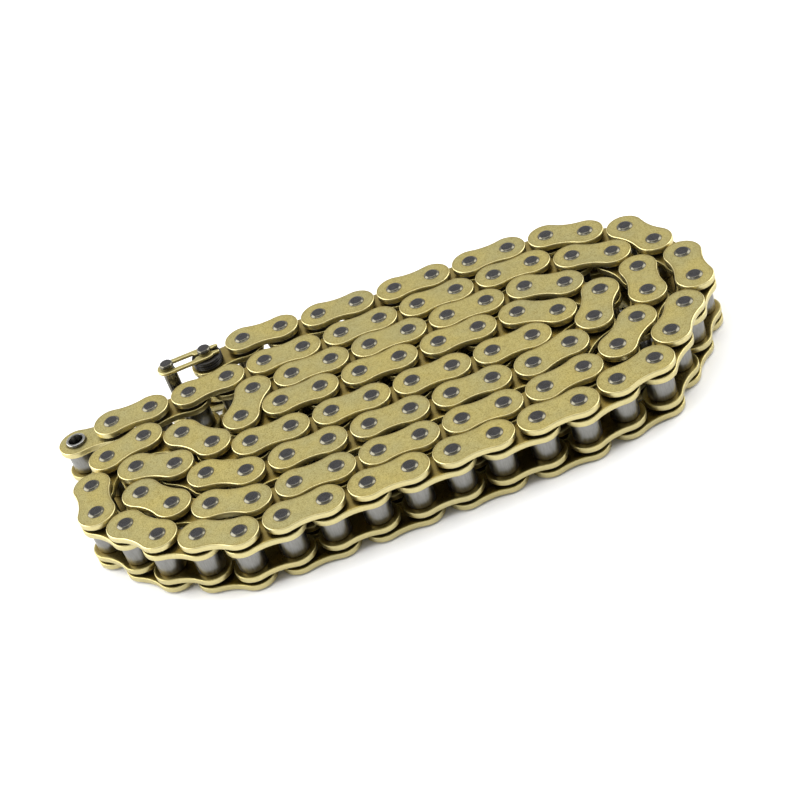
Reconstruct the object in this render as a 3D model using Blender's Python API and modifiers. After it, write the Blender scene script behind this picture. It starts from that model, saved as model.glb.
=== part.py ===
"""Motorcycle drive chain, 12.7 mm pitch, sealed, coiled flat on its side with both ends free.

The chain has 109 pin stations and 108 links: even links are outer links (two plates pressed on two pins),
odd links are inner links (two plates pressed on two bushes, each with a roller). Link 0 is the connecting
link with its spring clip, and link 107 is the open inner link that it closes on to. All pins stand along Z.
"""

import math

import bmesh
import bpy
import numpy as np
from mathutils import Matrix

MM = 0.001

# Chain size, in mm
PITCH = 12.7
ROLLER_WIDTH = 7.95
PLATE_THICKNESS = 2.0
SEAL_GAP = 1.2
PIN_END = 0.6
PLATE_RADIUS = 5.9
PLATE_WAIST = 4.95
PIN_RADIUS = 2.22
BUSH_RADIUS = 3.15
BUSH_END = 0.95
ROLLER_RADIUS = 4.25
RUNNING_GAP = 0.05
PRESS_GAP = 0.08
SEAL_RADIUS = 4.9
SEAL_SQUEEZE = 0.05

# Heights above the surface that the coil lies on, in mm
MIDDLE = ROLLER_WIDTH / 2 + 2 * PLATE_THICKNESS + SEAL_GAP + PIN_END
INNER_FACE = ROLLER_WIDTH / 2
INNER_BACK = INNER_FACE + PLATE_THICKNESS
OUTER_FACE = INNER_BACK + SEAL_GAP
OUTER_BACK = OUTER_FACE + PLATE_THICKNESS

# Connecting link, in mm
CONNECTING_PIN_EXTRA = 2.25
CLIP_THICKNESS = 1.05
CLIP_PLAY = 0.05
CLIP_RADIUS = 3.4
CLIP_SLOT = 1.75
CLIP_NECK = 0.65
CLIP_NECK_LENGTH = 3.0
CLIP_NECK_BLEND = 1.0
CLIP_SEAT_EXIT = 1.7
CLIP_MOUTH = 1.3
CLIP_TIP = 4.5
CLIP_TIP_WIDTH = 2.3
GROOVE_RADIUS = 1.65
CLIP_SEAT_GAP = 0.1
STACKED_SEAL = 1.5

# Overlap in mm between pieces that are united into one solid
UNION_OVERLAP = 0.5
RUN_OVERLAP = 0.1

# What tidying merges: faces within this angle in radians, and points closer than these lengths in m
FLAT_ANGLE = 0.0035
SLIVER = 1e-6
SAME_POINT = 1e-7

# How the chain lies: (pin station, x, y) in mm, straight between the stations that are not listed
LAST_PIN = 108
ROW_GAP = 0.35
SETTLE_STEPS = 3000
SETTLE_SHARE = 0.25
PINS_NEAR = 3 * PITCH
PLATES_NEAR = 2 * PITCH
ROUTE = (
    (0, -64, 47.5), (1, -51.5, 47.5), (2, -38.5, 48.5), (5, -1, 43.5), (9, 49.5, 39.5), (10, 62.5, 37.5),
    (11, 73.5, 32), (12, 84.5, 26), (13, 89.5, 14.5), (14, 94, 2.5), (15, 92.5, -10), (16, 84.5, -20.5),
    (17, 76, -30), (18, 67.5, -38.5), (19, 54.5, -41), (20, 42, -43), (23, 4, -42), (27, -46.5, -40),
    (28, -59.5, -39), (29, -70.5, -33.5), (30, -81, -27), (31, -89.5, -17), (32, -97, -6.5), (33, -96.5, 6),
    (34, -90, 17), (35, -77.5, 20), (36, -66, 14), (37, -58.5, 4), (38, -47.5, -3), (45, 41, -7.5),
    (46, 51.5, -0.5), (47, 41, 6), (54, -47.5, 11), (55, -41.5, 22), (62, 47.5, 17), (63, 58.5, 11),
    (64, 66, 1), (65, 60, -10), (66, 49.5, -17), (67, 37, -19.5), (74, -52, -15), (75, -63, -9),
    (76, -71, 1), (77, -82, 7), (78, -83, -6), (79, -75, -16), (80, -64.5, -23), (81, -52.5, -28),
    (88, 36, -32), (89, 48.5, -30), (90, 60.5, -26.5), (91, 70, -18.5), (92, 78, -8), (93, 80, 4.5),
    (94, 76.5, 16.5), (95, 65, 22.5), (96, 53.5, 27.5), (97, 41, 28.5), (107, -85.5, 33), (108, -98.5, 34.5),
)

# Which links swing, and how the packed links are grouped (first link, last link)
CLIP_END_LINKS = range(0, 19)
OPEN_END_LINKS = range(105, 108)
DETAILED_LINKS = (1, 2, 106, 107)
OPEN_RUNS = ((19, 36),)
PACKED_RUNS = ((37, 46), (47, 54), (55, 64), (65, 76), (77, 90), (91, 104))

# Facets: around a round piece, along a plate's end and along its waist
FINE_SIDES = 10
ROLLER_SIDES = 8
PIN_SIDES = 6
FINE_PLATE = (8, 2)
COARSE_PLATE = (4, 2)
CLIP_STEPS = 8
CLIP_SEAT_STEPS = 6
CLIP_TIP_STEPS = 3
BRIDGE_WIDTH = 9.0
SHARP_ANGLE = math.radians(30)

GOLD = ((0.52, 0.43, 0.15, 1.0), 0.35, 0.9)
DARK_STEEL = ((0.08, 0.08, 0.1, 1.0), 0.35, 0.9)
BRIGHT_STEEL = ((0.45, 0.45, 0.46, 1.0), 0.3, 1.0)
RUBBER = ((0.01, 0.01, 0.01, 1.0), 0.6, 0.0)


def settled_pins():
    """Pin positions in mm: exact pitch along the route, and no plate closer than ROW_GAP to another row."""
    stations = [row[0] for row in ROUTE]
    every = range(LAST_PIN + 1)
    pins = np.array([np.interp(every, stations, [row[axis] for row in ROUTE]) for axis in (1, 2)]).T
    first, second = np.triu_indices(LAST_PIN + 1, 3)
    near = np.hypot(*(pins[first] - pins[second]).T) < PINS_NEAR
    first, second = first[near], second[near]
    middles = (pins[:-1] + pins[1:]) / 2
    pin, link = np.nonzero(np.hypot(*(pins[:, None] - middles[None]).transpose(2, 0, 1)) < PLATES_NEAR)
    apart = (pin < link - 1) | (pin > link + 2)
    pin, link = pin[apart], link[apart]
    for _ in range(SETTLE_STEPS):
        for start in (0, 1):
            here = np.arange(start, LAST_PIN, 2)
            gap = pins[here + 1] - pins[here]
            length = np.hypot(*gap.T)[:, None]
            shift = gap * (0.5 * (length - PITCH) / length)
            pins[here] += shift
            pins[here + 1] -= shift
        gap = pins[second] - pins[first]
        length = np.hypot(*gap.T)[:, None]
        push = gap / length * np.minimum(0, length - 2 * PLATE_RADIUS - ROW_GAP) * SETTLE_SHARE
        np.add.at(pins, first, push)
        np.add.at(pins, second, -push)
        gap = (pins[link] + pins[link + 1]) / 2 - pins[pin]
        length = np.hypot(*gap.T)[:, None]
        push = gap / length * np.minimum(0, length - PLATE_RADIUS - PLATE_WAIST - ROW_GAP) * SETTLE_SHARE
        np.add.at(pins, pin, push)
        np.add.at(pins, link, -push / 2)
        np.add.at(pins, link + 1, -push / 2)
    return pins - (pins.min(0) + pins.max(0)) / 2


def arc(centre, radius, start, end, steps):
    """Points on an arc, both ends included; angles in radians."""
    angles = np.linspace(start, end, steps + 1)
    return [(centre[0] + radius * math.cos(a), centre[1] + radius * math.sin(a)) for a in angles]


def plate_outline(steps):
    """Figure-of-eight outline from the origin to (PITCH, 0): round ends joined by hollow waists."""
    end_steps, waist_steps = steps
    half = PITCH / 2
    blend = (half**2 + PLATE_WAIST**2 - PLATE_RADIUS**2) / (2 * (PLATE_RADIUS - PLATE_WAIST))
    rise = PLATE_WAIST + blend
    reach = math.atan2(rise, -half)
    hollow = math.atan2(half, rise)
    quarter = math.pi / 2
    points = arc((PITCH, 0), PLATE_RADIUS, -reach, reach, end_steps)
    points += arc((half, rise), blend, hollow - quarter, -hollow - quarter, waist_steps)[1:-1]
    points += arc((0, 0), PLATE_RADIUS, math.pi - reach, math.pi + reach, end_steps)
    points += arc((half, -rise), blend, quarter + hollow, quarter - hollow, waist_steps)[1:-1]
    return points


def circle(centre, radius, sides):
    """A closed round outline with a corner on each side of the X axis."""
    return arc(centre, radius, 0, 2 * math.pi, sides)[:-1]


def across_flats(radius, sides):
    """The corner radius of a polygon whose flats are at the given radius."""
    return radius / math.cos(math.pi / sides)


def clip_outline():
    """Spring clip: closed round the free pin at the origin, open past the pin at (PITCH, 0)."""
    seat = GROOVE_RADIUS + CLIP_SEAT_GAP
    quarter = math.pi / 2
    neck = PITCH - CLIP_NECK_LENGTH
    outer = arc((0, 0), CLIP_RADIUS, quarter, 3 * quarter, CLIP_STEPS)
    tip = arc((PITCH, 0), CLIP_RADIUS, -quarter, -quarter / 2, CLIP_TIP_STEPS)
    tip += [(PITCH + CLIP_TIP, -CLIP_TIP_WIDTH), (PITCH + CLIP_TIP, -CLIP_MOUTH)]
    open_seat = math.asin(CLIP_NECK / seat)
    lower = [(PITCH + CLIP_SEAT_EXIT, -CLIP_NECK)]
    lower += arc((PITCH, 0), seat, -open_seat, open_seat - math.pi, CLIP_SEAT_STEPS)
    lower += [(neck, -CLIP_NECK), (neck - CLIP_NECK_BLEND, -CLIP_SLOT)]
    inner = arc((0, 0), CLIP_SLOT, -quarter, -3 * quarter, CLIP_STEPS)
    half = tip + lower
    mirrored = [(x, -y) for x, y in reversed(half)]
    return outer + half + inner + mirrored


def new_material(name, look):
    """A Principled material with its colour, roughness and metallic value."""
    colour, roughness, metallic = look
    material = bpy.data.materials.new(name)
    material.use_nodes = True
    shader = material.node_tree.nodes["Principled BSDF"]
    shader.inputs["Base Color"].default_value = colour
    shader.inputs["Roughness"].default_value = roughness
    shader.inputs["Metallic"].default_value = metallic
    return material


def mesh_from(curve, name):
    """The closed mesh of a filled curve or of an object with modifiers, in its own coordinates."""
    bpy.context.view_layer.update()
    evaluated = curve.evaluated_get(bpy.context.evaluated_depsgraph_get())
    mesh = bpy.data.meshes.new_from_object(evaluated)
    mesh.name = name
    bpy.data.objects.remove(curve)
    work = bmesh.new()
    work.from_mesh(mesh)
    bmesh.ops.remove_doubles(work, verts=work.verts, dist=SAME_POINT)
    bmesh.ops.recalc_face_normals(work, faces=work.faces)
    work.to_mesh(mesh)
    work.free()
    return mesh


def flat_mesh(name, outlines, low, high):
    """A plate between two heights (mm from the chain's middle plane), with any further outlines as holes."""
    curve = bpy.data.curves.new(name, "CURVE")
    curve.dimensions = "2D"
    curve.fill_mode = "BOTH"
    curve.extrude = (high - low) / 2 * MM
    for outline in outlines:
        spline = curve.splines.new("POLY")
        spline.points.add(len(outline) - 1)
        spline.use_cyclic_u = True
        for point, (x, y) in zip(spline.points, outline):
            point.co = (x * MM, y * MM, 0, 1)
    holder = bpy.data.objects.new(name, curve)
    bpy.context.scene.collection.objects.link(holder)
    mesh = mesh_from(holder, name)
    bpy.data.curves.remove(curve)
    mesh.transform(Matrix.Translation((0, 0, ((low + high) / 2 + MIDDLE) * MM)))
    return mesh


def turned_mesh(name, profile, sides, centre=(0, 0)):
    """A turned piece from (radius, height) pairs in mm that run down its outer side."""
    mesh = bpy.data.meshes.new(name)
    mesh.from_pydata([(r * MM, 0, (z + MIDDLE) * MM) for r, z in profile], [], [])
    work = bmesh.new()
    work.from_mesh(mesh)
    work.verts.ensure_lookup_table()
    closed = profile[0][0] > 0
    count = len(profile)
    for i in range(count if closed else count - 1):
        work.edges.new((work.verts[i], work.verts[(i + 1) % count]))
    work.to_mesh(mesh)
    work.free()
    holder = bpy.data.objects.new(name, mesh)
    bpy.context.scene.collection.objects.link(holder)
    screw = holder.modifiers.new("turn", "SCREW")
    screw.steps = screw.render_steps = sides
    screw.use_merge_vertices = True
    screw.merge_threshold = SLIVER
    turned = mesh_from(holder, name)
    turned.transform(Matrix.Translation((centre[0] * MM, centre[1] * MM, 0)))
    return turned


def rod_mesh(name, radius, low, high, sides, centre=(0, 0)):
    """A solid round bar between two heights."""
    return turned_mesh(name, [(0, high), (radius, high), (radius, low), (0, low)], sides, centre)


def ring_mesh(name, inner, outer, low, high, sides, centre=(0, 0)):
    """A turned ring between two heights."""
    return turned_mesh(name, [(inner, high), (outer, high), (outer, low), (inner, low)], sides, centre)


def boolean(mesh, operands, operation):
    """Unite a mesh with others, or cut them from it, with the exact solver."""
    base = bpy.data.objects.new("base", mesh)
    bpy.context.scene.collection.objects.link(base)
    group = bpy.data.collections.new("cutters")
    bpy.context.scene.collection.children.link(group)
    for operand in operands:
        cutter = bpy.data.objects.new("cutter", operand)
        cutter.hide_render = True
        cutter.display_type = "WIRE"
        group.objects.link(cutter)
    modifier = base.modifiers.new(operation.lower(), "BOOLEAN")
    modifier.operation = operation
    modifier.operand_type = "COLLECTION"
    modifier.collection = group
    modifier.solver = "EXACT"
    result = mesh_from(base, mesh.name)
    for cutter in list(group.objects):
        bpy.data.objects.remove(cutter)
    bpy.data.collections.remove(group)
    return result


def tidy_facets(mesh):
    """Merge the slivers and the flat neighbours that a union leaves."""
    work = bmesh.new()
    work.from_mesh(mesh)
    bmesh.ops.dissolve_limit(work, angle_limit=FLAT_ANGLE, verts=work.verts, edges=work.edges)
    bmesh.ops.dissolve_degenerate(work, dist=SLIVER, edges=work.edges)
    bmesh.ops.delete(work, geom=[edge for edge in work.edges if not edge.link_faces], context="EDGES")
    bmesh.ops.triangulate(work, faces=work.faces)
    work.to_mesh(mesh)
    work.free()
    return mesh


def placed(mesh, origin, heading):
    """Move a mesh that was made from the origin along X to a link's place; mm and radians."""
    place = Matrix.Translation((origin[0] * MM, origin[1] * MM, 0)) @ Matrix.Rotation(heading, 4, "Z")
    mesh.transform(place)
    return mesh


def outer_pieces():
    """Two outer plates and two pins of one outer link, as overlapping solids."""
    outline = plate_outline(FINE_PLATE)
    pieces = [flat_mesh("plate", [outline], OUTER_FACE, OUTER_BACK)]
    pieces += [flat_mesh("plate", [outline], -OUTER_BACK, -OUTER_FACE)]
    for x in (0, PITCH):
        pieces += [rod_mesh("pin", PIN_RADIUS, -MIDDLE, MIDDLE, PIN_SIDES, (x, 0))]
    return pieces


def inner_pieces():
    """Two inner plates and two rollers of one inner link, as overlapping solids."""
    outline = plate_outline(FINE_PLATE)
    pieces = [flat_mesh("plate", [outline], INNER_FACE, INNER_BACK)]
    pieces += [flat_mesh("plate", [outline], -INNER_BACK, -INNER_FACE)]
    reach = INNER_FACE + UNION_OVERLAP
    for x in (0, PITCH):
        pieces += [rod_mesh("roller", ROLLER_RADIUS, -reach, reach, ROLLER_SIDES, (x, 0))]
    return pieces


def bridge(low, high):
    """A straight bar between two pins, narrower than a plate's waist."""
    half = BRIDGE_WIDTH / 2
    return flat_mesh("bridge", [[(0, -half), (PITCH, -half), (PITCH, half), (0, half)]], low, high)


def open_run_pieces(link):
    """A link inside a run that shows its rollers: the seal gaps are closed, the tooth gaps stay open."""
    if link % 2:
        low = INNER_FACE + RUN_OVERLAP
        pieces = [bridge(low, INNER_BACK), bridge(-INNER_BACK, -low)]
        reach = INNER_FACE + UNION_OVERLAP
        for x in (0, PITCH):
            pieces += [rod_mesh("roller", ROLLER_RADIUS, -reach, reach, PIN_SIDES, (x, 0))]
        return pieces
    outline = plate_outline(FINE_PLATE)
    spans = ((INNER_FACE, OUTER_BACK), (-OUTER_BACK, -INNER_FACE))
    return [flat_mesh("block", [outline], low, high) for low, high in spans]


def packed_run_pieces(link):
    """A link inside a packed run, as one block: outer links as high as their pins, inner links between."""
    if link % 2:
        return [bridge(-INNER_BACK, INNER_BACK)]
    return [flat_mesh("block", [plate_outline(COARSE_PLATE)], -MIDDLE, MIDDLE)]


def bore(centre):
    """A cutter that opens a bush for the next link's pin."""
    radius = across_flats(PIN_RADIUS + RUNNING_GAP, PIN_SIDES)
    return rod_mesh("bore", radius, -MIDDLE, MIDDLE, PIN_SIDES, centre)


def outer_link_mesh():
    """One outer link as a single solid."""
    pieces = outer_pieces()
    return tidy_facets(boolean(pieces[0], pieces[1:], "UNION"))


def inner_link_mesh():
    """One inner link as a single solid with both bushes open."""
    pieces = inner_pieces()
    joined = boolean(pieces[0], pieces[1:], "UNION")
    return tidy_facets(boolean(joined, [bore((x, 0)) for x in (0, PITCH)], "DIFFERENCE"))


def heading(start, end):
    """Direction in radians from one pin to another."""
    return math.atan2(end[1] - start[1], end[0] - start[0])


def run_mesh(pins, first, last, middle_pieces):
    """Several links as one solid, from an inner link with an open bush to an outer link with its pins."""
    pieces = []
    for link in range(first, last + 1):
        start, end = pins[link], pins[link + 1]
        if link == first:
            solids = inner_pieces()
        elif link == last:
            solids = outer_pieces()
        else:
            solids = middle_pieces(link)
        pieces += [placed(solid, start, heading(start, end)) for solid in solids]
    joined = boolean(pieces[0], pieces[1:], "UNION")
    return tidy_facets(boolean(joined, [bore(pins[first])], "DIFFERENCE"))


def add_node(name, mesh, look, parent, collection):
    """A named part under its joint's empty, with its own material."""
    node = bpy.data.objects.new(name, mesh)
    collection.objects.link(node)
    node.parent = parent
    if not mesh.materials:
        mesh.materials.append(None)
    node.material_slots[0].link = "OBJECT"
    node.material_slots[0].material = new_material(name, look)
    mesh.shade_smooth()
    mesh.set_sharp_from_angle(angle=SHARP_ANGLE)
    return node


def add_joint(name, parent, location, turn, collection):
    """An empty on a hinge axis, whose X axis runs along the link that it carries."""
    joint = bpy.data.objects.new(name, None)
    collection.objects.link(joint)
    joint.parent = parent
    joint.location = (location[0] * MM, location[1] * MM, 0)
    joint.rotation_euler = (0, 0, turn)
    return joint


def add_outer_link(prefix, pin_ends, joint, collection):
    """One riveted outer link in its real pieces: two plates, two pins and four seals."""
    holes = [circle((x, 0), PIN_RADIUS + PRESS_GAP, FINE_SIDES) for x in (0, PITCH)]
    for side, low, high in (("top", OUTER_FACE, OUTER_BACK), ("bottom", -OUTER_BACK, -OUTER_FACE)):
        plate = flat_mesh("outer_plate", [plate_outline(FINE_PLATE)] + holes, low, high)
        add_node(f"{prefix}_outer_plate_{side}", plate, GOLD, joint, collection)
    for number, x in zip(pin_ends, (0, PITCH)):
        pin = rod_mesh("pin", PIN_RADIUS, -MIDDLE, MIDDLE, FINE_SIDES, (x, 0))
        add_node(f"{prefix}_pin_{number:03d}", pin, DARK_STEEL, joint, collection)
        for side, sign in (("top", 1), ("bottom", -1)):
            levels = sorted((sign * (INNER_BACK + SEAL_SQUEEZE), sign * (OUTER_FACE - SEAL_SQUEEZE)))
            seal = seal_mesh(levels[0], levels[1], x)
            add_node(f"{prefix}_seal_{number:03d}_{side}", seal, RUBBER, joint, collection)


def seal_mesh(low, high, x):
    """A sealing ring round a bush's end."""
    inner = across_flats(BUSH_RADIUS + RUNNING_GAP, FINE_SIDES)
    return ring_mesh("seal", inner, SEAL_RADIUS, low, high, FINE_SIDES, (x, 0))


def add_inner_link(prefix, ends, joint, collection):
    """One inner link in its real pieces: two plates, two bushes and two free rollers."""
    holes = [circle((x, 0), BUSH_RADIUS + PRESS_GAP, FINE_SIDES) for x in (0, PITCH)]
    for side, low, high in (("top", INNER_FACE, INNER_BACK), ("bottom", -INNER_BACK, -INNER_FACE)):
        plate = flat_mesh("inner_plate", [plate_outline(FINE_PLATE)] + holes, low, high)
        add_node(f"{prefix}_inner_plate_{side}", plate, GOLD, joint, collection)
    bore_radius = across_flats(PIN_RADIUS + RUNNING_GAP, FINE_SIDES)
    roller_bore = across_flats(BUSH_RADIUS + RUNNING_GAP, FINE_SIDES)
    bush_reach = INNER_BACK + BUSH_END
    roller_reach = INNER_FACE - RUNNING_GAP
    for number, x in zip(ends, (0, PITCH)):
        bush = ring_mesh("bush", bore_radius, BUSH_RADIUS, -bush_reach, bush_reach, FINE_SIDES, (x, 0))
        add_node(f"{prefix}_bush_{number:03d}", bush, BRIGHT_STEEL, joint, collection)
        axis = add_joint(f"{prefix}_roller_{number:03d}_axis", joint, (x, 0), 0, collection)
        roller = ring_mesh("roller", roller_bore, ROLLER_RADIUS, -roller_reach, roller_reach, FINE_SIDES)
        add_node(f"{prefix}_roller_{number:03d}", roller, BRIGHT_STEEL, axis, collection)


def add_connecting_link(joint, collection):
    """The connecting link: lower plate, two grooved pins, spring clip and seals, its upper plate off.

    The joint is at the pin that already sits in the chain, and the free pin is at (PITCH, 0).
    """
    holes = [circle((x, 0), PIN_RADIUS + PRESS_GAP, FINE_SIDES) for x in (0, PITCH)]
    plate = flat_mesh("outer_plate", [plate_outline(FINE_PLATE)] + holes, -OUTER_BACK, -OUTER_FACE)
    add_node("connecting_plate", plate, GOLD, joint, collection)
    clip_low = OUTER_BACK + CLIP_PLAY
    clip_high = clip_low + CLIP_THICKNESS
    top = MIDDLE + CONNECTING_PIN_EXTRA
    groove = (clip_high + CLIP_PLAY, OUTER_BACK)
    for name, x in (("joined", 0), ("free", PITCH)):
        profile = [(0, top), (PIN_RADIUS, top), (PIN_RADIUS, groove[0]), (GROOVE_RADIUS, groove[0])]
        profile += [(GROOVE_RADIUS, groove[1]), (PIN_RADIUS, groove[1]), (PIN_RADIUS, -MIDDLE), (0, -MIDDLE)]
        pin = turned_mesh("connecting_pin", profile, FINE_SIDES, (x, 0))
        add_node(f"connecting_pin_{name}", pin, DARK_STEEL, joint, collection)
        seal = seal_mesh(SEAL_SQUEEZE - OUTER_FACE, -INNER_BACK - SEAL_SQUEEZE, x)
        add_node(f"connecting_seal_{name}_bottom", seal, RUBBER, joint, collection)
    outline = [(PITCH - x, y) for x, y in clip_outline()]
    add_node("spring_clip", flat_mesh("spring_clip", [outline], clip_low, clip_high), GOLD, joint, collection)
    low = INNER_BACK + SEAL_SQUEEZE
    for name in ("lower", "upper"):
        seal = seal_mesh(low, low + STACKED_SEAL, 0)
        add_node(f"connecting_seal_stacked_{name}", seal, RUBBER, joint, collection)
        low += STACKED_SEAL + SEAL_SQUEEZE


def add_swinging_links(pins, links, hinge_first, root, collection):
    """A strand of links, each hinged on the one before it, outwards from the packed coil.

    hinge_first tells whether each link turns about its lower-numbered pin.
    """
    parent, facing = root, 0.0
    meshes = {"outer": outer_link_mesh(), "inner": inner_link_mesh()}
    for link in links:
        ends = (link, link + 1) if hinge_first else (link + 1, link)
        direction = heading(pins[ends[0]], pins[ends[1]])
        location = pins[ends[0]] if parent is root else (PITCH, 0)
        joint = add_joint(f"joint_at_pin_{ends[0]:03d}", parent, location, direction - facing, collection)
        if link == 0:
            add_connecting_link(joint, collection)
        elif link in DETAILED_LINKS:
            build = add_outer_link if link % 2 == 0 else add_inner_link
            build(f"link_{link:03d}", ends, joint, collection)
        else:
            kind = "outer" if link % 2 == 0 else "inner"
            look = GOLD if kind == "outer" else BRIGHT_STEEL
            add_node(f"link_{link:03d}_{kind}", meshes[kind], look, joint, collection)
        parent, facing = joint, direction


def main():
    """Clear the scene and build the whole chain."""
    for thing in list(bpy.data.objects):
        bpy.data.objects.remove(thing)
    collection = bpy.data.collections.new("drive_chain")
    bpy.context.scene.collection.children.link(collection)
    root = bpy.data.objects.new("packed_coil", None)
    collection.objects.link(root)
    pins = settled_pins()
    for runs, middle_pieces in ((OPEN_RUNS, open_run_pieces), (PACKED_RUNS, packed_run_pieces)):
        for first, last in runs:
            mesh = run_mesh(pins, first, last, middle_pieces)
            add_node(f"links_{first:03d}_to_{last:03d}", mesh, GOLD, root, collection)
    add_swinging_links(pins, reversed(CLIP_END_LINKS), False, root, collection)
    add_swinging_links(pins, OPEN_END_LINKS, True, root, collection)
    bpy.context.view_layer.update()


main()
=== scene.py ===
"""Finished look of a sealed motorcycle drive chain, coiled flat on its side.

Link k joins pin stations k and k + 1. Even links are outer links, odd links are inner links.
Lengths are in mm, heights are from the chain's middle plane, and a link is made along +X from its lower pin.
"""

import math

import bpy
import numpy as np
from mathutils import Matrix
from mathutils.geometry import tessellate_polygon


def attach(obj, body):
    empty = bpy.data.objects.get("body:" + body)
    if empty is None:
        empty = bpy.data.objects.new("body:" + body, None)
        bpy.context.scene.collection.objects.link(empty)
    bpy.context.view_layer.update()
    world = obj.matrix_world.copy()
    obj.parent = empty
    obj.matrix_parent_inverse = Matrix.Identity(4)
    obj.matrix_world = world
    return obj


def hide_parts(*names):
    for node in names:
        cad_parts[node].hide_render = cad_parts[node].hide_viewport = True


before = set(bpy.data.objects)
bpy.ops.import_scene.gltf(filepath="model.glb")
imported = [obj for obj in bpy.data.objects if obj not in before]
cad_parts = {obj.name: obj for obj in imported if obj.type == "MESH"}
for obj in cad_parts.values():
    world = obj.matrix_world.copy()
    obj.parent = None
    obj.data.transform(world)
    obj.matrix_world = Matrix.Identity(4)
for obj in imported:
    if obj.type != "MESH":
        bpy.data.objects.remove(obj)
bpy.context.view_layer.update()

MM = 0.001

# Chain size, as in the frame
PITCH = 12.7
MIDDLE = 9.775
INNER_FACE = 3.975
INNER_BACK = 5.975
OUTER_FACE = 7.175
OUTER_BACK = 9.175
PLATE_RADIUS = 5.9
PLATE_WAIST = 4.95
PLATE_TRIM = 0.04
PIN_RADIUS = 2.22
BUSH_RADIUS = 3.15
BUSH_BORE = 2.27
BUSH_REACH = 6.925
ROLLER_RADIUS = 4.25
ROLLER_BORE = 3.2
SEAL_RADIUS = 4.9
SEAL_BORE = 3.2

# How the chain lies: (pin station, x, y), straight between the stations that are not listed
LAST_PIN = 108
ROW_GAP = 0.35
SETTLE_STEPS = 3000
SETTLE_SHARE = 0.25
PINS_NEAR = 3 * PITCH
PLATES_NEAR = 2 * PITCH
ROUTE = (
    (0, -64, 47.5), (1, -51.5, 47.5), (2, -38.5, 48.5), (5, -1, 43.5), (9, 49.5, 39.5), (10, 62.5, 37.5),
    (11, 73.5, 32), (12, 84.5, 26), (13, 89.5, 14.5), (14, 94, 2.5), (15, 92.5, -10), (16, 84.5, -20.5),
    (17, 76, -30), (18, 67.5, -38.5), (19, 54.5, -41), (20, 42, -43), (23, 4, -42), (27, -46.5, -40),
    (28, -59.5, -39), (29, -70.5, -33.5), (30, -81, -27), (31, -89.5, -17), (32, -97, -6.5), (33, -96.5, 6),
    (34, -90, 17), (35, -77.5, 20), (36, -66, 14), (37, -58.5, 4), (38, -47.5, -3), (45, 41, -7.5),
    (46, 51.5, -0.5), (47, 41, 6), (54, -47.5, 11), (55, -41.5, 22), (62, 47.5, 17), (63, 58.5, 11),
    (64, 66, 1), (65, 60, -10), (66, 49.5, -17), (67, 37, -19.5), (74, -52, -15), (75, -63, -9),
    (76, -71, 1), (77, -82, 7), (78, -83, -6), (79, -75, -16), (80, -64.5, -23), (81, -52.5, -28),
    (88, 36, -32), (89, 48.5, -30), (90, 60.5, -26.5), (91, 70, -18.5), (92, 78, -8), (93, 80, 4.5),
    (94, 76.5, 16.5), (95, 65, 22.5), (96, 53.5, 27.5), (97, 41, 28.5), (107, -85.5, 33), (108, -98.5, 34.5),
)
PACKED_RUNS = ((19, 36), (37, 46), (47, 54), (55, 64), (65, 76), (77, 90), (91, 104))
PLAIN_LINKS = tuple(range(3, 19)) + (105,)
OPEN_LINK = 107
DETAILED_LINKS = ((1, (2, 1)), (2, (3, 2)), (106, (106, 107)), (107, (107, 108)))

# Connecting link
CONNECTING_TOP = MIDDLE + 2.25
GROOVE_RADIUS = 1.65
GROOVE_TOP = 10.325
GROOVE_BEVEL = 0.08
GROOVE_WEAR = 0.8
CLIP_LOW = 9.225
CLIP_HIGH = 10.275
CLIP_RADIUS = 3.4
CLIP_SLOT = 1.75
CLIP_SEAT = 1.75
CLIP_NECK = 0.65
CLIP_NECK_LENGTH = 3.0
CLIP_SEAT_EXIT = 1.7
CLIP_MOUTH = 1.3
CLIP_TIP = 4.5
CLIP_TIP_WIDTH = 2.3

# Corners of the clip as (along, across): the tip's from its end and its edges, the lead-in's from the
# joined pin, the neck's from where it starts
CLIP_TIP_OUTSIDE = ((-0.9, -0.04), (-0.25, 0.06), (0, 0.3))
CLIP_TIP_INSIDE = ((0, -0.25), (-0.25, 0), (-0.8, 0.15))
CLIP_LEAD_IN = (2.4, -0.84)
CLIP_NECK_INSIDE = ((0.6, -0.65), (0.1, -0.7), (-0.4, -1.0), (-0.8, -1.5), (-1.3, -1.71))
STACKED_SEALS = ((6.025, 7.525), (7.575, 9.075))

# Edges as (inset from the outline, depth below the face, wear and shading), from the flat face to the side.
# Wear and shading goes from -1, dark with old oil and painted shade, through 0, clean, to 1, rubbed bright
# and partly a painted highlight.
# Outside edge: the slight darkening towards the edge and the dark line in the groove are painted shade; the
# bright rim is rubbed wear and a painted highlight.
OUTSIDE_EDGE = (
    (1.9, 0, 0), (1.1, 0, -0.06), (0.6, 0, -0.14), (0.48, 0.02, -0.55), (0.36, 0.02, -0.6),
    (0.26, 0.02, -0.2), (0.17, 0.05, 0.8), (0.06, 0.14, 1), (0, 0.28, 0.8),
)
# Covered edge, on the inner plates' faces under the outer plates: the dark band is old oil and painted shade
# between the plates.
COVERED_EDGE = (
    (1.5, 0, -0.9), (0.9, 0, -0.85), (0.3, 0, -0.7), (0.15, 0.04, 0), (0.05, 0.12, 0.8), (0, 0.28, 0.7),
)
# Inside edge, on the faces that face the next plate: the dark is old oil and painted shade between the
# plates.
INSIDE_EDGE = (
    (1.5, 0, -1), (0.9, 0, -0.9), (0.35, 0, -0.5), (0.12, 0.04, -0.1), (0.03, 0.1, 0.5), (0, 0.22, 0.7),
)
# The dark ring round each hole is oil residue and a painted contact shadow round the pin head or bush.
HOLE_EDGE = ((0.6, 0, 0), (0.42, 0, -0.4), (0.16, 0, -0.4), (0.06, 0.1, 0))
CLIP_EDGE = ((0.34, 0, 0), (0.22, 0.01, 0.4), (0.07, 0.07, 0.9), (0, 0.22, 0.6))
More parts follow.
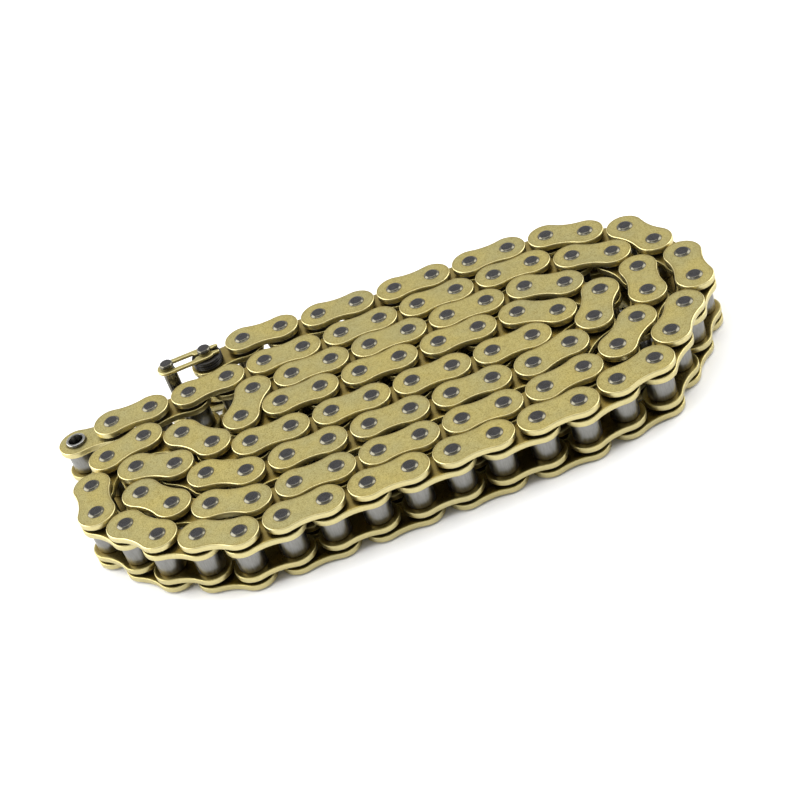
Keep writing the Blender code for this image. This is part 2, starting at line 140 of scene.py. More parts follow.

# Turned pieces as (radius, height, wear and shading), down the outer side; the connecting pin's tip is
# measured from its top, and the seal's side is (radius, depth below its top face) down to its middle
# The bright flanks of the rivet heads and of the connecting pin's tip are rubbed wear and partly a painted
# highlight.
RIVET_HEAD = (
    (0, 9.765, 0), (1.4, 9.77, 0), (1.78, 9.755, 0), (1.93, 9.7, 0.5), (2.12, 9.53, 1), (2.38, 9.29, 0.9),
    (2.52, 9.21, 0.3), (2.5, 9.18, 0), (PIN_RADIUS, 9.178, 0), (PIN_RADIUS, 8.9, 0),
)
CONNECTING_TIP = (
    (0, -0.005, 0), (1.4, 0, 0), (1.75, -0.02, 0.2), (1.92, -0.12, 0.8), (2.1, -0.38, 1),
    (PIN_RADIUS, -0.7, 0.3),
)
ROLLER_EDGE = (
    (ROLLER_BORE, 3.8, 0), (3.3, 3.92, 0.3), (3.8, 3.92, 0.5), (4.1, 3.84, 0.9), (ROLLER_RADIUS, 3.6, 0.4),
)
BUSH_EDGE = (
    (BUSH_BORE, 6.7, 0.1), (2.38, 6.88, 0.9), (2.8, BUSH_REACH, 1), (3.06, 6.84, 1),
    (BUSH_RADIUS, 6.62, 0.1),
)
SEAL_SIDE = (
    (SEAL_BORE, 0.2), (3.5, 0.02), (4.45, 0.0), (4.8, 0.14), (SEAL_RADIUS, 0.34), (4.78, 0.52), (4.66, 0.6),
)

# Colours, linear; a steel's are (plain, dark mottle, rubbed bright and partly a painted highlight)
GOLD_COLOUR = (0.525, 0.44, 0.155, 1)
GOLD_TINT = (0.45, 0.405, 0.185, 1)
GOLD_DARK = (0.22, 0.165, 0.04, 1)
# Rubbed bright gold; on the plates' rims and sides it is also a painted highlight and painted reflection.
GOLD_BRIGHT = (0.66, 0.585, 0.31, 1)
# Dark old oil, which is also the painted shade between the plates and round the pins.
OIL_AND_SHADE_COLOUR = (0.23, 0.165, 0.043, 1)
# The pins' bright colour is also the painted highlight on the head flanks.
PIN_COLOURS = ((0.07, 0.068, 0.072, 1), (0.035, 0.034, 0.034, 1), (0.14, 0.13, 0.095, 1))
ROLLER_COLOURS = ((0.158, 0.152, 0.136, 1), (0.085, 0.078, 0.065, 1), (0.3, 0.3, 0.29, 1))
BUSH_COLOURS = ((0.14, 0.136, 0.128, 1), (0.08, 0.077, 0.068, 1), (0.27, 0.265, 0.25, 1))
RUBBER_COLOUR = (0.008, 0.007, 0.007, 1)
RUBBER_GREASE = (0.02, 0.017, 0.012, 1)
FLOOR_COLOURS = ((0.93, 0.93, 0.93, 1), (0.95, 0.95, 0.95, 1))

# Marks on the surfaces: size in mm
CLOUD_SIZE = 14
GRAIN_SIZE = 0.34
BLOTCH_SIZE = 1.5
MOTTLE_SIZE = 1.1
STREAK_SIZE = 0.4
FILM_SIZE = 1.6
RUBBER_GRAIN_SIZE = 0.3
FLOOR_CLOUD_SIZE = 60

# Relief as (strength, depth in mm)
GOLD_RELIEF = (0.3, 0.02)
STEEL_RELIEF = (0.15, 0.01)
RUBBER_RELIEF = (0.2, 0.02)

# How much of its colour each mark puts on
GRAIN_SHARE = 0.85
BLOTCH_SHARE = 0.35
SPARKLE_SHARE = 0.3
MOTTLE_SHARE = 0.6

# Roughness; a steel's runs from the first to the second of these about its own
STREAK_ROUGHNESS = (-0.05, 0.06)
GOLD_ROUGHNESS = (0.3, 0.52)
WORN_SMOOTHER = 0.06
OILED_SMOOTHER = 0.1
RUBBER_ROUGHNESS = (0.5, 0.22)
RUBBER_SHINE = 0.3
PIN_ROUGHNESS = 0.26
ROLLER_ROUGHNESS = 0.36
BUSH_ROUGHNESS = 0.28
FLOOR_ROUGHNESS = 0.9
ROLLER_STREAK = (1, 1, 0.12)
ROLLER_CONTRAST = 0.45

# Camera, in m and degrees: lens and sensor in mm
CAMERA_PLACE = (-0.03188, -0.41809, 0.33281)
CAMERA_TURN = -4.45
CAMERA_DOWN = 37.82
CAMERA_ROLL = -19.6
CAMERA_LENS = 78.9
CAMERA_SENSOR = 36
CAMERA_NEAR = 0.01

# Studio: lights as (name, azimuth, elevation, distance, (width, height), power), in degrees, m and W;
# azimuth 0 is in front and positive to the right
FLOOR_SIZE = 6
FLOOR_DROP = 0.00002
LIGHTS = (
    ("left_softbox", -105, 27, 1.2, (1.5, 0.9), 17),
    ("right_softbox", 92, 27, 1.2, (1.1, 0.8), 9),
    ("top_softbox", 180, 86, 1.2, (1.2, 0.8), 6.5),
)
WORLD_SHADE = (("From Min", -0.75), ("From Max", 0.1), ("To Min", 0.31), ("To Max", 0.95))

# Facets
END_STEPS = 22
WAIST_STEPS = 8
HOLE_SIDES = 24
PIN_SIDES = 28
ROLLER_SIDES = 32
CLIP_END_STEPS = 22
CLIP_SIDE_STEPS = 6
CLIP_TIP_STEPS = 7
CLIP_SEAT_STEPS = 18
CLIP_SLOT_STEPS = 16
SMOOTH_ANGLE = math.radians(50)

# Slots of a link's mesh
GOLD, PIN_STEEL, RUBBER, ROLLER_STEEL, BUSH_STEEL = range(5)


def settled_pins():
    """Pin positions in mm: exact pitch along the route, and no plate closer than ROW_GAP to another row."""
    stations = [row[0] for row in ROUTE]
    every = range(LAST_PIN + 1)
    pins = np.array([np.interp(every, stations, [row[axis] for row in ROUTE]) for axis in (1, 2)]).T
    first, second = np.triu_indices(LAST_PIN + 1, 3)
    near = np.hypot(*(pins[first] - pins[second]).T) < PINS_NEAR
    first, second = first[near], second[near]
    middles = (pins[:-1] + pins[1:]) / 2
    pin, link = np.nonzero(np.hypot(*(pins[:, None] - middles[None]).transpose(2, 0, 1)) < PLATES_NEAR)
    apart = (pin < link - 1) | (pin > link + 2)
    pin, link = pin[apart], link[apart]
    for _ in range(SETTLE_STEPS):
        for start in (0, 1):
            here = np.arange(start, LAST_PIN, 2)
            gap = pins[here + 1] - pins[here]
            length = np.hypot(*gap.T)[:, None]
            shift = gap * (0.5 * (length - PITCH) / length)
            pins[here] += shift
            pins[here + 1] -= shift
        gap = pins[second] - pins[first]
        length = np.hypot(*gap.T)[:, None]
        push = gap / length * np.minimum(0, length - 2 * PLATE_RADIUS - ROW_GAP) * SETTLE_SHARE
        np.add.at(pins, first, push)
        np.add.at(pins, second, -push)
        gap = (pins[link] + pins[link + 1]) / 2 - pins[pin]
        length = np.hypot(*gap.T)[:, None]
        push = gap / length * np.minimum(0, length - PLATE_RADIUS - PLATE_WAIST - ROW_GAP) * SETTLE_SHARE
        np.add.at(pins, pin, push)
        np.add.at(pins, link, -push / 2)
        np.add.at(pins, link + 1, -push / 2)
    return pins - (pins.min(0) + pins.max(0)) / 2


class Shape:
    """Points, faces, the slot of each face and the wear and painted shading of each point."""

    def __init__(self):
        self.points = []
        self.faces = []
        self.slots = []
        self.wear_and_shading = []

    def add_loop(self, outline, height, wear_and_shading):
        """Add a closed loop of points at one height and return their numbers."""
        start = len(self.points)
        self.points += [(x, y, height) for x, y in outline]
        self.wear_and_shading += [wear_and_shading] * len(outline)
        return list(range(start, len(self.points)))

    def add_faces(self, faces, slot):
        """Add faces of one material."""
        self.faces += faces
        self.slots += [slot] * len(faces)

    def join(self, loops, slot, closed=False):
        """Join successive loops with quads that face outwards when the loops run down the outer side."""
        count = len(loops[0])
        pairs = list(zip(loops, loops[1:] + loops[:1]))
        for upper, lower in pairs if closed else pairs[:-1]:
            turn = [(j, (j + 1) % count) for j in range(count)]
            self.add_faces([(upper[a], lower[a], lower[b], upper[b]) for a, b in turn], slot)

    def fill(self, loops, slot, upward):
        """Close a flat region between an outer loop and the loops inside it."""
        numbers = [number for loop in loops for number in loop]
        rings = [[self.points[number] for number in loop] for loop in loops]
        faces = []
        for triangle in tessellate_polygon(rings):
            a, b, c = (numbers[i] for i in triangle)
            p, q, r = (self.points[i] for i in (a, b, c))
            area = (q[0] - p[0]) * (r[1] - p[1]) - (q[1] - p[1]) * (r[0] - p[0])
            faces.append((a, b, c) if (area > 0) == upward else (a, c, b))
        self.add_faces(faces, slot)

    def to_mesh(self, name, materials):
        """A mesh in metres at its height above the floor, with its materials and its wear attribute, which
        also paints shade and highlights.
        """
        mesh = bpy.data.meshes.new(name)
        points = np.array(self.points) * MM + (0, 0, MIDDLE * MM)
        mesh.from_pydata(points.tolist(), [], self.faces)
        for material in materials:
            mesh.materials.append(material)
        mesh.polygons.foreach_set("material_index", self.slots)
        wear_and_shading = mesh.attributes.new("wear_and_shading", "FLOAT", "POINT")
        wear_and_shading.data.foreach_set("value", self.wear_and_shading)
        mesh.update()
        mesh.shade_smooth()
        mesh.set_sharp_from_angle(angle=SMOOTH_ANGLE)
        return mesh


def arc(centre, radius, start, end, steps):
    """Points on an arc, both ends included; angles in radians."""
    angles = np.linspace(start, end, steps + 1)
    return [(centre[0] + radius * math.cos(a), centre[1] + radius * math.sin(a)) for a in angles]


def plate_outline(inset):
    """Figure-of-eight outline from the origin to (PITCH, 0), moved inwards by inset."""
    half = PITCH / 2
    inset += PLATE_TRIM
    blend = (half**2 + PLATE_WAIST**2 - PLATE_RADIUS**2) / (2 * (PLATE_RADIUS - PLATE_WAIST))
    rise = PLATE_WAIST + blend
    reach = math.atan2(rise, -half)
    hollow = math.atan2(half, rise)
    quarter = math.pi / 2
    end, waist = PLATE_RADIUS - inset, blend + inset
    points = arc((PITCH, 0), end, -reach, reach, END_STEPS)
    points += arc((half, rise), waist, hollow - quarter, -hollow - quarter, WAIST_STEPS)[1:-1]
    points += arc((0, 0), end, math.pi - reach, math.pi + reach, END_STEPS)
    points += arc((half, -rise), waist, quarter + hollow, quarter - hollow, WAIST_STEPS)[1:-1]
    return points


def circle(centre_x, radius, sides):
    """A round outline about a point on the X axis."""
    return arc((centre_x, 0), radius, 0, 2 * math.pi, sides)[:-1]


def clip_outline():
    """Spring clip: closed round the free pin at (PITCH, 0), open past the pin at the origin."""
    quarter = math.pi / 2
    neck = PITCH - CLIP_NECK_LENGTH
    outer = arc((0, 0), CLIP_RADIUS, quarter, 3 * quarter, CLIP_END_STEPS)
    straight = [(PITCH * step / CLIP_SIDE_STEPS, -CLIP_RADIUS) for step in range(1, CLIP_SIDE_STEPS)]
    end = PITCH + CLIP_TIP
    tip = arc((PITCH, 0), CLIP_RADIUS, -quarter, -quarter / 2, CLIP_TIP_STEPS)
    tip += [(end + x, y - CLIP_TIP_WIDTH) for x, y in CLIP_TIP_OUTSIDE]
    tip += [(end + x, y - CLIP_MOUTH) for x, y in CLIP_TIP_INSIDE]
    open_seat = math.asin(CLIP_NECK / CLIP_SEAT)
    seat = [(PITCH + CLIP_LEAD_IN[0], CLIP_LEAD_IN[1]), (PITCH + CLIP_SEAT_EXIT, -CLIP_NECK)]
    seat += arc((PITCH, 0), CLIP_SEAT, -open_seat, open_seat - math.pi, CLIP_SEAT_STEPS)
    seat += [(neck + x, y) for x, y in CLIP_NECK_INSIDE]
    slot = [(neck * step / CLIP_SIDE_STEPS, -CLIP_SLOT) for step in range(CLIP_SIDE_STEPS - 2, 0, -1)]
    inner = arc((0, 0), CLIP_SLOT, -quarter, -3 * quarter, CLIP_SLOT_STEPS)
    half = straight + tip + seat + slot
    return [(PITCH - x, y) for x, y in reversed(outer + half + inner + [(x, -y) for x, y in reversed(half)])]


def inset_outline(outline, inset):
    """A closed anticlockwise outline moved inwards along its corners' bisectors."""
    points = np.array(outline)
    along = np.roll(points, -1, 0) - points
    along /= np.hypot(*along.T)[:, None]
    normals = np.stack([-along[:, 1], along[:, 0]], 1)
    both = normals + np.roll(normals, 1, 0)
    both /= np.maximum((both**2).sum(1)[:, None] / 2, 0.6)
    return (points + both * inset).tolist()


def add_plate(shape, outline_at, holes, low, high, edges):
    """A gold plate with shaped edges; edges are (top edge, bottom edge) and holes are (centre x, radius)."""
    top, bottom = edges
    sides = [(inset, high - depth, wear_and_shading) for inset, depth, wear_and_shading in top]
    sides += [(inset, low + depth, wear_and_shading) for inset, depth, wear_and_shading in reversed(bottom)]
    loops = [shape.add_loop(outline_at(inset), height, wear_and_shading) for inset, height, wear_and_shading in sides]
    shape.join(loops, GOLD)
    top_faces, bottom_faces = [loops[0]], [loops[-1]]
    top_wear_and_shading, bottom_wear_and_shading = top[0][2], bottom[0][2]
    for centre_x, radius in holes:
        walls = [(radius + out, low + depth, wear_and_shading + bottom_wear_and_shading) for out, depth, wear_and_shading in HOLE_EDGE]
        walls += [(radius + out, high - depth, wear_and_shading + top_wear_and_shading) for out, depth, wear_and_shading in reversed(HOLE_EDGE)]
        rings = [shape.add_loop(circle(centre_x, r, HOLE_SIDES), z, wear_and_shading) for r, z, wear_and_shading in walls]
        shape.join(rings, GOLD)
        bottom_faces.append(rings[0])
        top_faces.append(rings[-1])
    shape.fill(top_faces, GOLD, True)
    shape.fill(bottom_faces, GOLD, False)


def add_turned(shape, profile, centre_x, sides, slot):
    """A turned piece; a profile that starts on the axis is solid, and any other is a closed ring."""
    solid = profile[0][0] == 0
    body = profile[1:-1] if solid else profile
    loops = [shape.add_loop(circle(centre_x, radius, sides), height, wear_and_shading) for radius, height, wear_and_shading in body]
    shape.join(loops, slot, closed=not solid)
    if solid:
        for pole, loop, upward in ((profile[0], loops[0], True), (profile[-1], loops[-1], False)):
            centre = shape.add_loop([(centre_x, 0)], pole[1], pole[2])[0]
            turn = list(zip(loop, loop[1:] + loop[:1]))
            shape.add_faces([(centre, a, b) if upward else (centre, b, a) for a, b in turn], slot)


def mirrored(profile):
    """A profile's upper half followed by its mirror image below the middle plane."""
    return list(profile) + [(radius, -height, wear_and_shading) for radius, height, wear_and_shading in reversed(profile)]


def add_outer_plate(shape, side):
    """An outer plate above (1) or below (-1) the middle plane."""
    holes = [(x, PIN_RADIUS) for x in (0, PITCH)]
    edges = (OUTSIDE_EDGE, INSIDE_EDGE) if side > 0 else (INSIDE_EDGE, OUTSIDE_EDGE)
    low, high = sorted((side * OUTER_FACE, side * OUTER_BACK))
    add_plate(shape, plate_outline, holes, low, high, edges)


def add_inner_plate(shape, side, outside=COVERED_EDGE):
    """An inner plate above (1) or below (-1) the middle plane."""
    holes = [(x, BUSH_RADIUS) for x in (0, PITCH)]
    edges = (outside, INSIDE_EDGE) if side > 0 else (INSIDE_EDGE, outside)
    low, high = sorted((side * INNER_FACE, side * INNER_BACK))
    add_plate(shape, plate_outline, holes, low, high, edges)


def add_pin(shape, centre_x):
    """A pin riveted at both ends."""
    add_turned(shape, mirrored(RIVET_HEAD), centre_x, PIN_SIDES, PIN_STEEL)


def add_connecting_pin(shape, centre_x):
    """A pin riveted below and grooved for the spring clip above."""
    profile = [(radius, CONNECTING_TOP + height, wear_and_shading) for radius, height, wear_and_shading in CONNECTING_TIP]
    lip = PIN_RADIUS - GROOVE_BEVEL
    profile += [(PIN_RADIUS, GROOVE_TOP + GROOVE_BEVEL, GROOVE_WEAR), (lip, GROOVE_TOP, GROOVE_WEAR)]
    profile += [(GROOVE_RADIUS, GROOVE_TOP, 0), (GROOVE_RADIUS, OUTER_BACK, 0)]
    profile += [(lip, OUTER_BACK, GROOVE_WEAR), (PIN_RADIUS, OUTER_BACK - GROOVE_BEVEL, GROOVE_WEAR)]
    profile += [(radius, -height, wear_and_shading) for radius, height, wear_and_shading in reversed(RIVET_HEAD)]
    add_turned(shape, profile, centre_x, PIN_SIDES, PIN_STEEL)


def add_seal(shape, low, high, centre_x):
    """A cross-shaped sealing ring squeezed between two heights."""
    squeeze = (high - low) / 2 / SEAL_SIDE[-1][1]
    upper = [(radius, high - depth * squeeze, 0) for radius, depth in SEAL_SIDE]
    lower = [(radius, low + depth * squeeze, 0) for radius, depth in reversed(SEAL_SIDE[:-1])]
    add_turned(shape, upper + lower, centre_x, PIN_SIDES, RUBBER)


def add_bush(shape, centre_x):
    """A bush whose ends stand proud of the inner plates."""
    add_turned(shape, mirrored(BUSH_EDGE), centre_x, PIN_SIDES, BUSH_STEEL)


def add_roller(shape, centre_x):
    """A free roller between the inner plates."""
    add_turned(shape, mirrored(ROLLER_EDGE), centre_x, ROLLER_SIDES, ROLLER_STEEL)


def outer_link():
    """Two outer plates, two pins and four seals."""
    shape = Shape()
    for side in (1, -1):
        add_outer_plate(shape, side)
    for centre_x in (0, PITCH):
        add_pin(shape, centre_x)
        for low, high in ((INNER_BACK, OUTER_FACE), (-OUTER_FACE, -INNER_BACK)):
            add_seal(shape, low, high, centre_x)
    return shape


def inner_link():
    """Two inner plates, two bushes and two rollers."""
    shape = Shape()
    for side in (1, -1):
        add_inner_plate(shape, side)
    for centre_x in (0, PITCH):
        add_bush(shape, centre_x)
        add_roller(shape, centre_x)
    return shape


def one_piece(build, *details):
    """A shape that holds one piece."""
    shape = Shape()
    build(shape, *details)
    return shape


class Tree:
    """A material's node tree, written one node at a time."""

    def __init__(self, name):
        self.material = bpy.data.materials.new(name)
        self.material.use_nodes = True
        self.nodes = self.material.node_tree.nodes
        self.links = self.material.node_tree.links
        self.shader = self.nodes["Principled BSDF"]

    def add(self, kind, settings=(), **inputs):
        """Add a node; inputs are sockets by name, with spaces as underscores, or other nodes' outputs."""
        node = self.nodes.new(kind)
        for key, value in settings:
            setattr(node, key, value)
        for key, value in inputs.items():
            self.put(node.inputs[key.replace("_", " ")], value)
        return node

    def put(self, socket, value):
        """Set a socket, or link an output to it."""
        if isinstance(value, bpy.types.NodeSocket):
            self.links.new(value, socket)
        else:
            socket.default_value = value

    def position(self, scale=(1, 1, 1)):
        """The place on the chain, stretched by scale."""
        place = self.add("ShaderNodeTexCoord").outputs["Object"]
        return self.add("ShaderNodeMapping", Vector=place, Scale=scale).outputs["Vector"]

    def noise(self, feature_mm, detail=4.0, roughness=0.6, stretch=(1, 1, 1)):
        """Noise with features of about the given size in mm, from 0 to 1."""
        place = self.position(stretch)
        node = self.add("ShaderNodeTexNoise", Vector=place, Scale=1 / (feature_mm * MM), Detail=detail)
        node.inputs["Roughness"].default_value = roughness
        return node.outputs["Fac"]

    def spread(self, value, low, high, to_low, to_high):
        """Map a value's range to another range, clamped."""
        node = self.add("ShaderNodeMapRange", Value=value)
        for key, number in zip(("From Min", "From Max", "To Min", "To Max"), (low, high, to_low, to_high)):
            node.inputs[key].default_value = number
        return node.outputs["Result"]

    def mix(self, factor, first, second):
        """Mix two colours."""
        node = self.add("ShaderNodeMix", (("data_type", "RGBA"),))
        self.put(node.inputs[0], factor)
        self.put(node.inputs[6], first)
        self.put(node.inputs[7], second)
        return node.outputs[2]

    def math(self, operation, first, second):
        """One arithmetic step."""
        node = self.add("ShaderNodeMath", (("operation", operation),))
        self.put(node.inputs[0], first)
        self.put(node.inputs[1], second)
        return node.outputs[0]

    def worn_and_highlit(self):
        """How far the surface is rubbed bright or painted with a highlight, from the mesh."""
        wear_and_shading = self.add("ShaderNodeAttribute", (("attribute_name", "wear_and_shading"),)).outputs["Fac"]
        return self.spread(wear_and_shading, 0, 1, 0, 1)

    def oil_and_shade(self):
        """How dark the surface is with old oil and painted shade, from the mesh."""
        wear_and_shading = self.add("ShaderNodeAttribute", (("attribute_name", "wear_and_shading"),)).outputs["Fac"]
        return self.spread(wear_and_shading, 0, -1, 0, 1)

    def bump(self, height, strength, distance_mm):
        """Put relief on the surface."""
        node = self.add("ShaderNodeBump", Height=height, Strength=strength, Distance=distance_mm * MM)
        self.links.new(node.outputs["Normal"], self.shader.inputs["Normal"])

    def finish(self, colour, roughness, metallic):
        """Set the shader's colour, roughness and metallic value."""
        self.put(self.shader.inputs["Base Color"], colour)
        self.put(self.shader.inputs["Roughness"], roughness)
        self.shader.inputs["Metallic"].default_value = metallic
        return self.material


def gold_material():
    """Yellow zinc plating: fine tumbled grain, cloudy tint, bright rubbed edges that are partly painted
    highlights, and dark old oil with painted shade inside.
    """
    tree = Tree("gold_zinc_plate")
    clouds = tree.spread(tree.noise(CLOUD_SIZE), 0.35, 0.65, 0, 1)
    grain = tree.noise(GRAIN_SIZE, roughness=0.75)
    blotches = tree.spread(tree.noise(BLOTCH_SIZE, 5, 0.7), 0.48, 0.68, 0, 1)
    base = tree.mix(clouds, GOLD_COLOUR, GOLD_TINT)
    base = tree.mix(tree.spread(grain, 0.5, 0.64, 0, GRAIN_SHARE), base, GOLD_DARK)
    base = tree.mix(tree.math("MULTIPLY", blotches, BLOTCH_SHARE), base, GOLD_DARK)
    base = tree.mix(tree.spread(grain, 0.34, 0.46, SPARKLE_SHARE, 0), base, GOLD_BRIGHT)
    # Rubbed bright edges that also paint highlights, and dark old oil that also paints the shade between the
    # plates and round the pins.
    worn_and_highlit = tree.math("MULTIPLY", tree.worn_and_highlit(), tree.spread(grain, 0.3, 0.7, 0.7, 1))
    oil_and_shade = tree.math("MULTIPLY", tree.oil_and_shade(), tree.spread(blotches, 0, 1, 0.9, 1))
    base = tree.mix(worn_and_highlit, base, GOLD_BRIGHT)
    base = tree.mix(oil_and_shade, base, OIL_AND_SHADE_COLOUR)
    rough = tree.spread(grain, 0.3, 0.7, *GOLD_ROUGHNESS)
    rough = tree.math("SUBTRACT", rough, tree.math("MULTIPLY", worn_and_highlit, WORN_SMOOTHER))
    rough = tree.math("SUBTRACT", rough, tree.math("MULTIPLY", oil_and_shade, OILED_SMOOTHER))
    tree.bump(grain, *GOLD_RELIEF)
    return tree.finish(base, rough, 1.0)


def steel_material(name, colour, dark, bright, roughness, streak=(1, 1, 1), contrast=0.15):
    """Steel with mottled tone, streaks along one direction, brighter rubbed edges that are partly painted
    highlights, and old oil with painted shade.
    """
    tree = Tree(name)
    mottle = tree.spread(tree.noise(MOTTLE_SIZE, 5, 0.65), 0.35, 0.65, 0, 1)
    streaks = tree.spread(tree.noise(STREAK_SIZE, stretch=streak), 0.4, 0.65, 0, 1)
    base = tree.mix(tree.math("MULTIPLY", mottle, MOTTLE_SHARE), colour, dark)
    base = tree.mix(tree.math("MULTIPLY", streaks, contrast), base, bright)
    # The rubbed bright colour here is also the painted highlight on the pins' head flanks.
    base = tree.mix(tree.worn_and_highlit(), base, bright)
    base = tree.mix(tree.oil_and_shade(), base, OIL_AND_SHADE_COLOUR)
    smoothest, roughest = (roughness + change for change in STREAK_ROUGHNESS)
    rough = tree.spread(streaks, 0, 1, smoothest, roughest)
    rough = tree.math("SUBTRACT", rough, tree.math("MULTIPLY", tree.worn_and_highlit(), WORN_SMOOTHER))
    tree.bump(streaks, *STEEL_RELIEF)
    return tree.finish(base, rough, 1.0)


def rubber_material():
    """Black nitrile rubber with a film of grease."""
    tree = Tree("black_rubber")
    film = tree.spread(tree.noise(FILM_SIZE), 0.4, 0.65, 0, 1)
    base = tree.mix(film, RUBBER_COLOUR, RUBBER_GREASE)
    rough = tree.spread(film, 0, 1, *RUBBER_ROUGHNESS)
    tree.shader.inputs["Specular IOR Level"].default_value = RUBBER_SHINE
    tree.bump(tree.noise(RUBBER_GRAIN_SIZE, 3), *RUBBER_RELIEF)
    return tree.finish(base, rough, 0.0)


def floor_material():
    """A plain pale floor."""
    tree = Tree("pale_floor")
    shade = tree.spread(tree.noise(FLOOR_CLOUD_SIZE, 2), 0.3, 0.7, 0, 1)
    base = tree.mix(shade, *FLOOR_COLOURS)
    return tree.finish(base, FLOOR_ROUGHNESS, 0.0)


def place_mesh(mesh, origin, heading):
    """Move a mesh made along +X from the origin to a link's place."""
    turn = Matrix.Rotation(heading, 4, "Z")
    mesh.transform(Matrix.Translation((origin[0] * MM, origin[1] * MM, 0)) @ turn)


def add_piece(name, mesh, body, replaced):
    """Show a mesh as a piece that rides on a body and stands for a CAD node."""
    piece = bpy.data.objects.new(name, mesh)
    bpy.context.scene.collection.objects.link(piece)
    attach(piece, body)
    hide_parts(replaced)


def heading_of(start, end):
    """Direction in radians from one pin to another."""
    return math.atan2(end[1] - start[1], end[0] - start[0])


def add_plain_links(pins, materials):
    """The links whose solids are one node, or a share of a run's node: one piece for each link."""
    bases = [outer_link().to_mesh("outer_link", materials), inner_link().to_mesh("inner_link", materials)]
    jobs = []
    for first, last in PACKED_RUNS:
        run = f"links_{first:03d}_to_{last:03d}"
        jobs += [(link, "packed_coil", run) for link in range(first, last + 1)]
    for link in PLAIN_LINKS:
        jobs.append((link, f"link_{link:03d}", f"link_{link:03d}_{'inner' if link % 2 else 'outer'}"))
    for link, body, node in jobs:
        mesh = bases[link % 2].copy()
        place_mesh(mesh, pins[link], heading_of(pins[link], pins[link + 1]))
        add_piece(f"{'inner' if link % 2 else 'outer'}_link_{link:03d}", mesh, body, node)


def add_detailed_pieces(pins, materials):
    """The links and the connecting link whose pieces are nodes of their own: one piece for each node."""

    def show(node, shape, slot, origin, heading, body):
        mesh = shape.to_mesh(node, materials)
        place_mesh(mesh, origin, heading)
        add_piece(f"fine_{node}", mesh, body, node)

    for link, ends in DETAILED_LINKS:
        body = f"link_{link:03d}"
        place = (pins[ends[0]], heading_of(pins[ends[0]], pins[link if ends[0] > link else link + 1]))
        kind, add_one = ("inner", add_inner_plate) if link % 2 else ("outer", add_outer_plate)
        bare = (OUTSIDE_EDGE,) if link == OPEN_LINK else ()
        for side, sign in (("top", 1), ("bottom", -1)):
            plate = one_piece(add_one, sign, *bare)
            show(f"{body}_{kind}_plate_{side}", plate, f"{kind}_plate", *place, body)
        for number, x in zip(ends, (0, PITCH)):
            if link % 2:
                show(f"{body}_bush_{number:03d}", one_piece(add_bush, x), "bush", *place, body)
                roller = one_piece(add_roller, x)
                show(f"{body}_roller_{number:03d}", roller, "roller", *place, f"roller_{number:03d}")
                continue
            show(f"{body}_pin_{number:03d}", one_piece(add_pin, x), "pin", *place, body)
            for side, low, high in (("top", INNER_BACK, OUTER_FACE), ("bottom", -OUTER_FACE, -INNER_BACK)):
                seal = one_piece(add_seal, low, high, x)
                show(f"{body}_seal_{number:03d}_{side}", seal, "seal", *place, body)

    body = "connecting_link"
    place = (pins[1], heading_of(pins[1], pins[0]))
    show("connecting_plate", one_piece(add_outer_plate, -1), "outer_plate", *place, body)
    for name, x in (("joined", 0), ("free", PITCH)):
        show(f"connecting_pin_{name}", one_piece(add_connecting_pin, x), "pin", *place, body)
        seal = one_piece(add_seal, -OUTER_FACE, -INNER_BACK, x)
        show(f"connecting_seal_{name}_bottom", seal, "seal", *place, body)
    for name, (low, high) in zip(("lower", "upper"), STACKED_SEALS):
        show(f"connecting_seal_stacked_{name}", one_piece(add_seal, low, high, 0), "seal", *place, body)
    outline = clip_outline()
    clip = Shape()
    edges = (CLIP_EDGE, CLIP_EDGE)
    add_plate(clip, lambda inset: inset_outline(outline, inset), (), CLIP_LOW, CLIP_HIGH, edges)
    show("spring_clip", clip, "spring_clip", *place, body)


def add_floor():
    """The floor under the chain."""
    bpy.ops.mesh.primitive_plane_add(size=FLOOR_SIZE, location=(0, 0, -FLOOR_DROP))
    floor = bpy.context.object
    floor.name = "floor"
    floor.data.materials.append(floor_material())


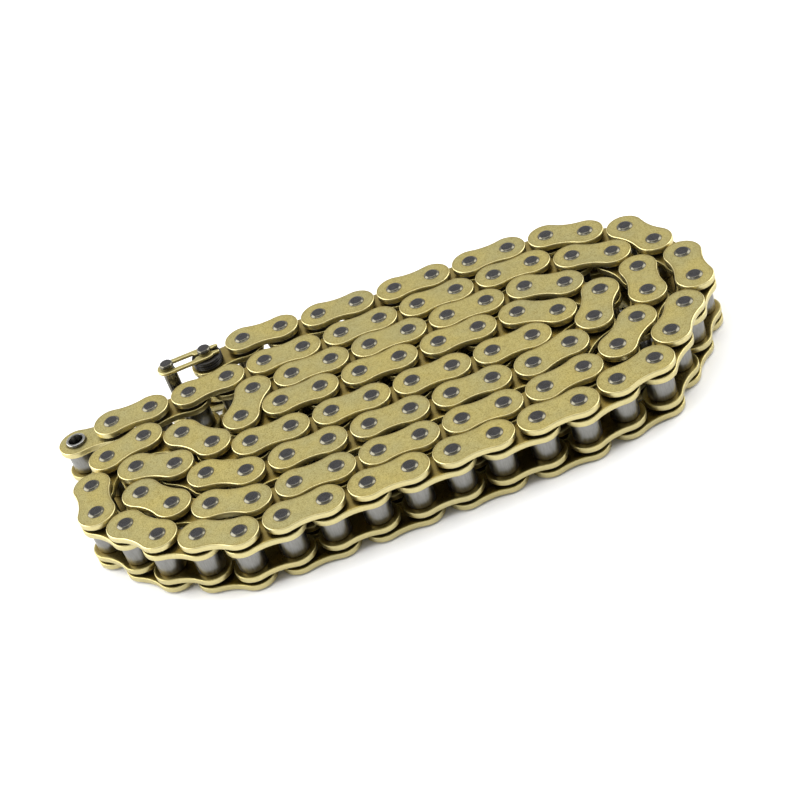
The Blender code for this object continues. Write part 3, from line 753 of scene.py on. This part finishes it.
def add_camera():
    """The camera: above the near left of the coil, looking down and tilted."""
    camera = bpy.data.objects.new("camera", bpy.data.cameras.new("camera"))
    bpy.context.scene.collection.objects.link(camera)
    camera.data.lens = CAMERA_LENS
    camera.data.sensor_width = CAMERA_SENSOR
    camera.data.clip_start = CAMERA_NEAR
    turn = Matrix.Rotation(math.radians(CAMERA_TURN), 4, "Z")
    tilt = Matrix.Rotation(math.radians(90 - CAMERA_DOWN), 4, "X")
    roll = Matrix.Rotation(math.radians(CAMERA_ROLL), 4, "Z")
    camera.matrix_world = Matrix.Translation(CAMERA_PLACE) @ turn @ tilt @ roll
    bpy.context.scene.camera = camera


def add_light(name, azimuth, elevation, distance, size, power):
    """A soft rectangular light that faces the coil and that the camera doesn't see."""
    light = bpy.data.objects.new(name, bpy.data.lights.new(name, "AREA"))
    bpy.context.scene.collection.objects.link(light)
    light.data.shape = "RECTANGLE"
    light.data.size = size[0]
    light.data.size_y = size[1]
    light.data.energy = power
    light.visible_camera = False
    turn = Matrix.Rotation(math.radians(azimuth), 4, "Z")
    tilt = Matrix.Rotation(math.radians(90 - elevation), 4, "X")
    light.matrix_world = turn @ tilt @ Matrix.Translation((0, 0, distance))


def add_world():
    """Pale surroundings, darker towards the front, where the camera stands."""
    world = bpy.data.worlds.new("studio")
    bpy.context.scene.world = world
    world.use_nodes = True
    nodes, links = world.node_tree.nodes, world.node_tree.links
    place = nodes.new("ShaderNodeTexCoord")
    split = nodes.new("ShaderNodeSeparateXYZ")
    shade = nodes.new("ShaderNodeMapRange")
    shade.interpolation_type = "SMOOTHSTEP"
    for key, value in WORLD_SHADE:
        shade.inputs[key].default_value = value
    background = nodes["Background"]
    links.new(place.outputs["Generated"], split.inputs["Vector"])
    links.new(split.outputs["Y"], shade.inputs["Value"])
    links.new(shade.outputs["Result"], background.inputs["Strength"])
    background.inputs["Color"].default_value = (1, 1, 1, 1)


def main():
    """Build everything round the frame."""
    pins = settled_pins()
    materials = [
        gold_material(),
        steel_material("dark_pin_steel", *PIN_COLOURS, PIN_ROUGHNESS),
        rubber_material(),
        steel_material("roller_steel", *ROLLER_COLOURS, ROLLER_ROUGHNESS, ROLLER_STREAK, ROLLER_CONTRAST),
        steel_material("bush_steel", *BUSH_COLOURS, BUSH_ROUGHNESS),
    ]
    add_plain_links(pins, materials)
    add_detailed_pieces(pins, materials)
    add_floor()
    add_camera()
    add_world()
    for light in LIGHTS:
        add_light(*light)
    bpy.context.scene.view_settings.view_transform = "Standard"


main()
